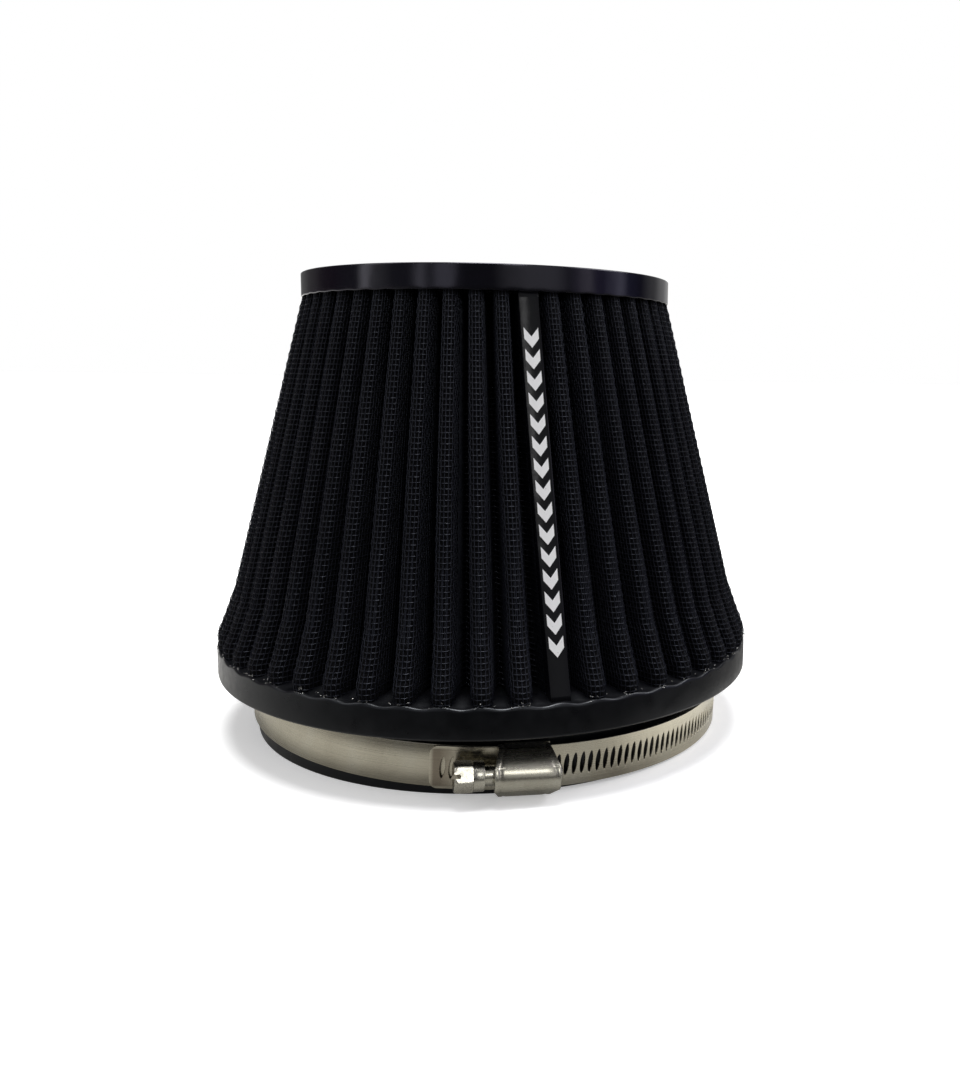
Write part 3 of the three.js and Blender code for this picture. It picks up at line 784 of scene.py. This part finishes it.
def cap():
    plate = CAP_TOP - 0.8
    wall = 1.2
    corners = [
        (1.0, plate - wall), (CAP_RADIUS - wall, plate - wall), (CAP_RADIUS - wall, CAP_BOTTOM),
        (CAP_RADIUS, CAP_BOTTOM), (CAP_RADIUS, CAP_TOP), (54.0, CAP_TOP), (53.0, plate), (1.0, plate),
    ]
    profile = filleted(corners, [0, 1.0, 0.2, 0.35, 0.45, 0.5, 0.6, 0], 6)
    extra = [
        p
        for a, b in zip(profile[:-1], profile[1:])
        for p in ([a] if np.linalg.norm(b - a) < 2.5 else list(np.linspace(a, b, 5)[:-1]))
    ]
    profile = np.array(extra + [profile[-1]])
    lathe("end_cap", profile, 408, GLOSS, "top_cap", cap_shape, hole=False)


def potting():
    top = CAP_TOP - 2.3
    bottom = CAP_BOTTOM + 0.3
    corners = [(44, bottom), (60.4, bottom), (60.4, top), (44, top)]
    profile = filleted(corners, [1.6, 0.3, 0.3, 0.4], 6)

    def shape(angle, radius, height):
        low = np.clip((CAP_BOTTOM + 2 - height) / 2, 0, 1)
        return radius + low * 0.15 * np.sin(11 * angle), height + low * 0.12 * np.sin(23 * angle + 1)

    lathe("cap_potting", profile, 408, RESIN, "top_potting", shape)


# ---- Label ----


def seam_point(across, out, z):
    """Points on the seam pleat's crest: sideways and outward of it, at a height."""
    share = share_at(z)
    crest = cone_radius("crest", share) - SEAM_DROP
    angle = PHASE + TWIST * share + SEAM_PLEAT * PITCH
    outer = polar(angle, crest + out, z)
    return outer + np.stack([np.cos(angle) * across, np.sin(angle) * across, 0 * across], axis=-1)


LABEL_HALF = 2.95
LABEL_IN, LABEL_OUT = 0.85, 1.15


def bow(across):
    """How far the strip bows out between its edges."""
    return 0.10 * (1 - (across / LABEL_HALF) ** 2)


def label():
    """The strip over the seam, a little bowed across and with rounded edges."""
    half = LABEL_HALF
    corners = [(-half, LABEL_IN), (half, LABEL_IN), (half, LABEL_OUT), (-half, LABEL_OUT)]
    outline = filleted(corners, 0.13, 4)
    across = outline[:, 0]
    out = outline[:, 1] + bow(across)
    heights = np.linspace(BASE_TOP, HEAD["z"], 60)
    ripple = 0.03 * np.sin(heights * 0.31) + 0.02 * np.sin(heights * 0.83)
    side, z = np.meshgrid(across, heights)
    points = seam_point(side, out[None, :] + ripple[:, None], z)
    sides, *ends = tube_faces(len(heights), len(across))
    piece("seam_label", points, [sides[:, ::-1], *ends], LABEL, "filter", ["label_strip"])


def label_marks():
    """Plain chevrons in a row along the strip, pointing to the base, as thin raised ink."""
    top, bottom, count = 133.6, 41.6, 15
    step = (top - bottom) / count
    half, rise, arm = 2.15, 2.6, step * 0.52
    ring = np.array([(-half, 0), (0, -rise), (half, 0), (half, -arm), (0, -rise - arm), (-half, -arm)])
    under = LABEL_OUT + 0.05 + bow(ring[:, 0])
    points, faces = [], []
    for k in range(count):
        z = top - k * step + ring[:, 1]
        low, high = 12 * k, 12 * k + 6
        points += [seam_point(ring[:, 0], under, z), seam_point(ring[:, 0], under + 0.06, z)]
        for corners in ([0, 5, 4, 1], [1, 4, 3, 2]):
            faces.append([high + c for c in corners])
            faces.append([low + c for c in reversed(corners)])
        for i in range(6):
            j = (i + 1) % 6
            faces.append([low + j, low + i, high + i, high + j])
    piece("label_marks", points, [np.array(faces)], INK, "filter", smooth=False)


# ---- Clamp ----


def plain_band():
    """The plain end: a section with rounded edges, swept round the clamp's axis."""
    inner, outer = BAND_RADIUS, BAND_RADIUS + BAND_SHEET
    corners = [(inner, -BAND_HALF), (outer, -BAND_HALF), (outer, BAND_HALF), (inner, BAND_HALF)]
    section = filleted(corners, 0.16, 4)
    angle, radius = np.meshgrid(np.linspace(*PLAIN_ARC, 420), section[:, 0], indexing="ij")
    height = np.broadcast_to(section[:, 1], angle.shape)
    faces = tube_faces(*angle.shape)
    uv = np.stack([angle * BAND_RADIUS, height], axis=-1).reshape(-1, 2)
    piece("band", polar(angle, radius, height), faces, STRIP, "clamp", ["clamp_band"],
          clamp_frame, uv)


ROWS = np.linspace(-BAND_HALF, BAND_HALF, 9)


def slot_angle(index):
    near_housing = round((DRIVE_ANGLE - TAIL_ANGLE) / SLOT_ANGLE) - 1
    return DRIVE_ANGLE + (index - near_housing) * SLOT_ANGLE


CELL_HALF = SLOT_ANGLE / 2 * SLOTTED_RADIUS
# A slot's lens: half its width and height, and how far its upper end leans along the band.
SLOT_HALF_WIDTH = 0.74
SLOT_HALF_HEIGHT = 3.25
SLOT_LEAN = 0.30
TAIL_CORNER = 2.4
TAIL_LIFT = 0.7
TAIL_LIFT_LENGTH = 6.0


def slotted_cell(middle):
    """Quads of one slot's cell in [run, height]: a ring between its edge and the slot's lens."""
    tops = np.array([-0.5, 0, 0.5]) * CELL_HALF
    rim = [(CELL_HALF, z) for z in ROWS] + [(x, BAND_HALF) for x in tops[::-1]]
    rim += [(-CELL_HALF, z) for z in ROWS[::-1]] + [(x, -BAND_HALF) for x in tops]
    rim = np.array(rim)
    count = len(rim)
    turn = np.linspace(0, 2 * math.pi, count, endpoint=False) - math.pi * 8 / count
    lens_x = SLOT_HALF_WIDTH * np.sign(np.cos(turn)) * np.abs(np.cos(turn)) ** 1.25
    lens_z = SLOT_HALF_HEIGHT * np.sin(turn)
    lean = SLOT_LEAN * lens_z / SLOT_HALF_HEIGHT
    lens = np.stack([lens_x + lean, lens_z], axis=-1)
    wide = np.stack([1.12 * lens_x + lean, 1.03 * lens_z], axis=-1)
    run = middle * SLOTTED_RADIUS
    return rim + [run, 0], wide + [run, 0], lens + [run, 0]


def slotted_band():
    """The slotted end, with its rounded tail, its punched slots and the plain stretch to the lap."""
    inner, outer = SLOTTED_RADIUS, SLOTTED_RADIUS + BAND_SHEET
    points, faces = [], []

    def add(rings, closed=True):
        """Quads between rings of ([run, height], radius)."""
        start = len(points)
        n = len(rings[0][0])
        for flat, radius in rings:
            points.extend([(run / SLOTTED_RADIUS, z, radius) for run, z in flat])
        for r in range(len(rings) - 1):
            for i in range(n if closed else n - 1):
                j = (i + 1) % n
                a, b = start + r * n, start + (r + 1) * n
                faces.append((a + i, a + j, b + j, b + i))

    for index in range(SLOTS):
        rim, wide, lens = slotted_cell(slot_angle(index))
        add([(rim, outer), (wide, outer), (lens, outer - 0.12), (lens, inner), (rim, inner)])
    start = (slot_angle(0) - SLOT_ANGLE / 2) * SLOTTED_RADIUS
    tail = [
        (start - TAIL_CORNER * math.cos(t), BAND_HALF - TAIL_CORNER * (1 - math.sin(t)))
        for t in np.linspace(0, math.pi / 2, 8)
    ]
    end = (slot_angle(SLOTS - 1) + SLOT_ANGLE / 2) * SLOTTED_RADIUS
    rest = [(x, BAND_HALF) for x in np.linspace(end, SLOTTED_END_ANGLE * SLOTTED_RADIUS, 60)]
    for columns in (tail, rest):
        for (x0, h0), (x1, h1) in zip(columns[:-1], columns[1:]):
            left = [(x0, z * h0 / BAND_HALF) for z in ROWS]
            right = [(x1, z * h1 / BAND_HALF) for z in ROWS]
            add([(left, outer), (right, outer)], False)
            add([(right, inner), (left, inner)], False)
    for x, h in (tail[0], rest[-1]):
        edge = [(x, z * h / BAND_HALF) for z in ROWS]
        pair = [(edge, inner), (edge, outer)]
        add(pair if x < 0 else pair[::-1], False)
    tops = np.array([-1, -0.5, 0, 0.5]) * CELL_HALF
    middles = [slot_angle(i) * SLOTTED_RADIUS for i in range(SLOTS)]
    edge_runs = [x for x, _ in tail[:-1]] + [m + t for m in middles for t in tops] + [x for x, _ in rest]
    heights = [h for _, h in tail[:-1]] + [BAND_HALF] * (len(edge_runs) - len(tail) + 1)
    for sign in (1, -1):
        line = [(x, sign * h) for x, h in zip(edge_runs, heights)]
        pair = [(line, outer), (line, inner)]
        add(pair if sign > 0 else pair[::-1], False)

    flat = np.array(points)
    along_tail = np.clip((flat[:, 0] * SLOTTED_RADIUS - tail[0][0]) / TAIL_LIFT_LENGTH, 0, 1)
    flat[:, 2] += TAIL_LIFT * (1 - along_tail) ** 2
    place = polar(flat[:, 0], flat[:, 2], flat[:, 1])
    uv = np.stack([flat[:, 0] * SLOTTED_RADIUS, flat[:, 1]], axis=-1)
    band = piece("slotted_band", place, [np.array(faces)], PUNCHED, "slotted_end",
                 ["clamp_slotted_end"], clamp_frame, uv)
    face_outward(band, merge=True)
    soften_by_angle(band, 35)
    round_edges(band, 0.11, 60)


# The hood: half its length, half its length at the legs' feet, the height from which its ends slope
# in to them, half its height, the crown's radius, and the radii where its legs begin and end.
HOUSING_HALF = 9.4
LEG_HALF = 7.6
CORNER_START = 4.6
HOUSING_SIDE = 7.15
CROWN_RADIUS = 5.4
LEG_FOOT = 80.95
LEG_TOP = 84.3


def housing():
    """The pressed hood over the worm: crown, sloping sides, short legs and rounded edges."""
    crown = [
        (SCREW_DISTANCE + CROWN_RADIUS * math.cos(t), CROWN_RADIUS * math.sin(t))
        for t in np.radians(np.linspace(-40, 40, 33))
    ]
    leg = [(LEG_FOOT, -HOUSING_SIDE), (LEG_TOP, -HOUSING_SIDE)]
    lower = filleted([*leg, crown[0]], [0, 0.9, 0], 8)
    upper = [(a, -b) for a, b in lower[::-1]]
    line = np.array([*lower, *crown[1:-1], *upper])
    along = np.gradient(line, axis=0)
    normal = unit(np.stack([along[:, 1], -along[:, 0]], axis=-1))
    beyond = np.maximum(np.abs(line[:, 1]) - CORNER_START, 0)
    reach = HOUSING_HALF - (HOUSING_HALF - LEG_HALF) * beyond / (HOUSING_SIDE - CORNER_START)
    edge = 0.4
    quarter = np.linspace(0, math.pi / 2, 6)
    rounding = [(edge * (1 - math.cos(t)), edge * (1 - math.sin(t))) for t in quarter]
    groove = [(1.15, 0), (1.3, 0.07), (1.5, 0.16), (1.75, 0.14), (2.1, 0.05), (2.6, 0)]
    rows = [(-(reach - inset), drop) for inset, drop in rounding + groove]
    for share in np.linspace(-0.8, 0.8, 7):
        rows.append(((reach - groove[-1][0]) * share, 0))
    rows += [(reach - inset, drop) for inset, drop in (rounding + groove)[::-1]]
    loops = []
    for x, drop in rows:
        skin = line - normal * drop
        skin[0, 1], skin[-1, 1] = -HOUSING_SIDE + drop, HOUSING_SIDE - drop
        loops.append(np.stack([np.broadcast_to(x, len(line)), -skin[:, 0], skin[:, 1]], axis=-1))
    faces = tube_faces(len(loops), len(line))
    hood = piece("screw_housing", loops, faces, PRESSED, "clamp",
                 ["clamp_housing"], drive_frame)
    face_outward(hood)
    # The band's way through it, and bores for the worm and the screw's ends.
    roof = SLOTTED_RADIUS + BAND_SHEET + 0.3
    passage = BAND_HALF + 0.2
    boolean_cut(
        hood,
        [
            block_cutter((-20, -roof, -passage), (20, -76, passage), drive_frame),
            rod_cutter(WORM_RADIUS + 0.25, -8.4, 8.4),
            rod_cutter(3.2, -11, 11),
        ],
    )
    soften_by_angle(hood, 38)


# The screw: its places run along it from the housing's middle, towards the tip.
WORM_RADIUS = 4.4
WORM_START = -7.9
WORM_END = 7.7
WORM_END_RADIUS = 3.3
HEX_FLAT = 3.97
HEX_END = -20.4
HEX_TURN = math.radians(30)
SLOT_TURN = math.radians(66)


def hex_radius(angle):
    sector = math.pi / 3
    local = (angle - HEX_TURN + 1.5 * sector) % sector - sector / 2
    return HEX_FLAT / np.cos(local)


def worm_radius(x, angle):
    phase = x / WORM_PITCH - (angle - math.pi) / (2 * math.pi)
    from_crest = np.abs((phase + 0.5) % 1 - 0.5)
    share = np.clip((from_crest - 0.1) / 0.25, 0, 1)
    share = share * share * (3 - 2 * share)
    return WORM_RADIUS - 0.8 * share


def screw():
    """Slotted hex head, collar, neck, worm and tip, as rings along the screw's axis."""
    sides = 144
    angle = np.arange(sides) * 2 * math.pi / sides
    hexagon = hex_radius(angle)
    rings = []
    for inset, limit in ((0, 3.9), (0.06, 4.05), (0.2, 4.18), (0.5, 4.36), (0.8, 4.5), (1.1, 4.6)):
        rings.append((HEX_END + inset, np.minimum(hexagon, limit)))
    rings += [(x, np.minimum(hexagon, 4.53)) for x in (-18, -17, -16, -15.3)]
    rings.append((-15.12, np.minimum(hexagon, 4.4)))
    for x, radius in (
        (-15.1, 4.05), (-15.0, 4.2), (-14.85, 4.25), (-13.5, 4.25), (-12.15, 4.25), (-11.98, 4.2),
        (-11.9, 4.05), (-11.9, 2.9), (-10, 2.9), (-7.9, 2.9),
    ):
        rings.append((x, np.full(sides, radius)))
    for x in np.linspace(WORM_START, WORM_END, 126):
        taper = np.clip(min(x - WORM_START, WORM_END - x) / 0.5, 0, 1)
        rings.append((x, WORM_END_RADIUS + (worm_radius(x, angle) - WORM_END_RADIUS) * taper))
    for x, radius in ((7.7, 2.6), (9.6, 2.6), (9.9, 2.52), (10.2, 2.3), (10.4, 1.95)):
        rings.append((x, np.full(sides, radius)))
    points = [
        np.stack([np.full(sides, x), -SCREW_DISTANCE - r * np.cos(angle), -r * np.sin(angle)], axis=-1)
        for x, r in rings
    ]
    faces = tube_faces(len(rings), sides)
    bolt = piece("worm_screw", points, faces, PLATED, "screw", ["clamp_screw"], drive_frame)
    face_outward(bolt)
    turn = Matrix.Translation((HEX_END, -SCREW_DISTANCE, 0)) @ Matrix.Rotation(SLOT_TURN, 4, "X")
    boolean_cut(bolt, [block_cutter((-1.8, -0.6, -6), (1.8, 0.6, 6), drive_frame @ turn)])
    soften_by_angle(bolt, 30)


def dress_cad_node(node, material):
    """A CAD piece that stays: its edges rounded by a modifier, and its material replaced."""
    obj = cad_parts[node]
    obj.data.materials.clear()
    obj.data.materials.append(material)
    round_edges(obj, 0.12, 40)


base()
cap()
potting()
woven_screen("outer_screen", OUTER_SCREEN_DEPTH, OUTER_WIRE, WOVEN_HALF)
gauze_pack()
woven_screen("inner_screen", INNER_SCREEN_DEPTH, INNER_WIRE, 0)
cut_wire_ends()
label()
label_marks()
plain_band()
slotted_band()
housing()
screw()
dress_cad_node("seam_clip", GLOSS)
dress_cad_node("clamp_saddle", PRESSED)

# ---- Stage, light and camera ----


def greys(*stops):
    return [(angle, value, value * 0.985, value * 0.94) for angle, value in stops]


# What the object sees of the floor: close to it, and from FAR_FLOOR outwards.
NEAR_FLOOR = greys((-180, 0.9), (-150, 0.95), (-113, 0.6), (-80, 0.40), (-47, 0.40), (-22, 0.30), (30, 0.26),
                   (52, 0.60), (72, 0.66), (100, 0.44), (143, 0.28), (180, 0.8))
FAR_FLOOR = greys((-180, 0.8), (-150, 0.8), (-113, 0.68), (-81, 0.34), (-37, 0.06), (10, 0.02), (55, 0.05),
                  (113, 0.20), (150, 0.32), (180, 0.8))
NEAR_RADIUS, FAR_RADIUS = 0.115, 0.135


def stage_floor():
    """A pale floor, clear from below. What the object reflects is a floor that is dark in front, as
    beside a camera, and light at the sides."""
    s = Shader("studio_floor", Specular_IOR_Level=0.2, Emission_Color=(1, 1, 1, 1), Emission_Strength=0.35)
    s.color(s.noise(3, 2), (0.3, (0.925, 0.925, 0.92)), (0.7, (0.94, 0.94, 0.935)))
    s.roughness(s.noise(20, 2), 0.6, 0.8)
    length = s.nodes.new("ShaderNodeVectorMath")
    length.operation = "LENGTH"
    s.feed(length.inputs, [s.place])
    far = s.ranged(length.outputs["Value"], 0, 1, NEAR_RADIUS, FAR_RADIUS)
    shade = s.blend(far, s.by_compass(s.place, NEAR_FLOOR), s.by_compass(s.place, FAR_FLOOR))
    seen = s.add("ShaderNodeBsdfPrincipled", Base_Color=shade, Emission_Color=shade,
                 Emission_Strength=0.3, Specular_IOR_Level=0, Roughness=1)

    below = s.nodes.new("ShaderNodeNewGeometry").outputs["Backfacing"]
    clear = s.nodes.new("ShaderNodeBsdfTransparent").outputs[0]
    above = s.mixed(s.is_camera_ray(), seen.outputs[0], s.bsdf.outputs[0])
    s.set(s.nodes["Material Output"], Surface=s.mixed(below, above, clear))
    mesh = bpy.data.meshes.new("studio_floor")
    mesh.from_pydata([(-9, -9, 0), (9, -9, 0), (9, 9, 0), (-9, 9, 0)], [], [(0, 1, 2, 3)])
    mesh.materials.append(s.material)
    add_object("studio_floor", mesh)


def softbox(name, size, power, location, target):
    data = bpy.data.lights.new(name, "AREA")
    data.shape = "RECTANGLE"
    data.size, data.size_y = size
    data.energy = power
    obj = add_object(name, data)
    obj.location = location
    obj.rotation_euler = (Vector(target) - Vector(location)).to_track_quat("-Z", "Y").to_euler()


# Brightness of the room round the object: compass angle and colour.
ROOM = [
    (-180, 0.32, 0.32, 0.32), (-150, 0.17, 0.17, 0.17), (-128, 0.12, 0.11, 0.12), (-106, 0.05, 0.03, 0.05),
    (-86, 0.08, 0.08, 0.10), (-80, 1.40, 1.40, 1.40), (-76, 1.40, 1.40, 1.40), (-71, 0.42, 0.42, 0.42),
    (-58, 0.15, 0.15, 0.17), (-45, 0.10, 0.10, 0.12), (-41, 0.85, 0.85, 0.88), (-38, 0.85, 0.85, 0.88),
    (-32, 0.16, 0.16, 0.18), (-28, 0.80, 0.80, 0.86), (-24, 0.80, 0.80, 0.86), (-19, 0.12, 0.12, 0.14),
    (-14, 0.06, 0.06, 0.07), (2, 0.06, 0.06, 0.07), (13, 0.36, 0.36, 0.36), (22, 0.56, 0.56, 0.56),
    (38, 0.58, 0.58, 0.60), (50, 0.17, 0.17, 0.20), (57, 0.30, 0.28, 0.36), (62, 0.78, 0.74, 0.82),
    (68, 0.20, 0.18, 0.30), (75, 0.14, 0.12, 0.24), (86, 0.80, 0.80, 1.00), (94, 0.10, 0.10, 0.20),
    (106, 0.03, 0.03, 0.06), (126, 0.24, 0.24, 0.24), (150, 0.50, 0.50, 0.50), (180, 0.32, 0.32, 0.32),
]


def studio_world():
    """A room that is dim in front, with soft upright panels of light round the sides."""
    world = bpy.data.worlds.new("studio")
    bpy.context.scene.world = world
    world.use_nodes = True
    w = Nodes(world.node_tree)
    coords = w.nodes.new("ShaderNodeTexCoord").outputs["Generated"]
    room = w.nodes["Background"]
    w.set(room, Color=w.by_compass(coords, ROOM))
    plain = w.add("ShaderNodeBackground", Color=(1, 1, 1, 1))
    seen = w.mixed(w.is_camera_ray(), room.outputs[0], plain.outputs[0])
    w.set(w.nodes["World Output"], Surface=seen)


def overhead_sun(strength, spread):
    data = bpy.data.lights.new("overhead", "SUN")
    data.energy = strength
    data.angle = math.radians(spread)
    add_object("overhead", data)


def camera():
    """A camera a little lower than the cap, looking slightly down and past the cone's right side. The
    lens is shifted to bring the cone back to the middle."""
    yaw, pitch, roll = math.radians(6.74), math.radians(-7.68), math.radians(0.88)
    data = bpy.data.cameras.new("camera")
    obj = add_object("camera", data)
    obj.matrix_world = (
        Matrix.Translation(Vector((0, -360.0, 122.5)) * MM)
        @ Matrix.Rotation(-yaw, 4, "Z")
        @ Matrix.Rotation(math.pi / 2 + pitch, 4, "X")
        @ Matrix.Rotation(roll, 4, "Z")
    )
    data.sensor_width = 36
    data.lens = 33.534
    data.shift_x, data.shift_y = -0.1167, -0.03716
    data.clip_start, data.clip_end = 0.01, 50
    bpy.context.scene.camera = obj


stage_floor()
studio_world()
overhead_sun(2.7, 26)
softbox("front", (0.16, 0.30), 0.75, (0.25, -0.90, 0.54), (0.01, -0.09, 0.01))
softbox("right", (0.7, 0.5), 6, (0.95, -0.1, 0.9), (0.1, 0, 0))
softbox("left", (0.7, 0.5), 2, (-0.95, -0.2, 0.9), (-0.1, 0, 0))
camera()

scene = bpy.context.scene
scene.view_settings.view_transform = "Standard"
scene.view_settings.look = "None"
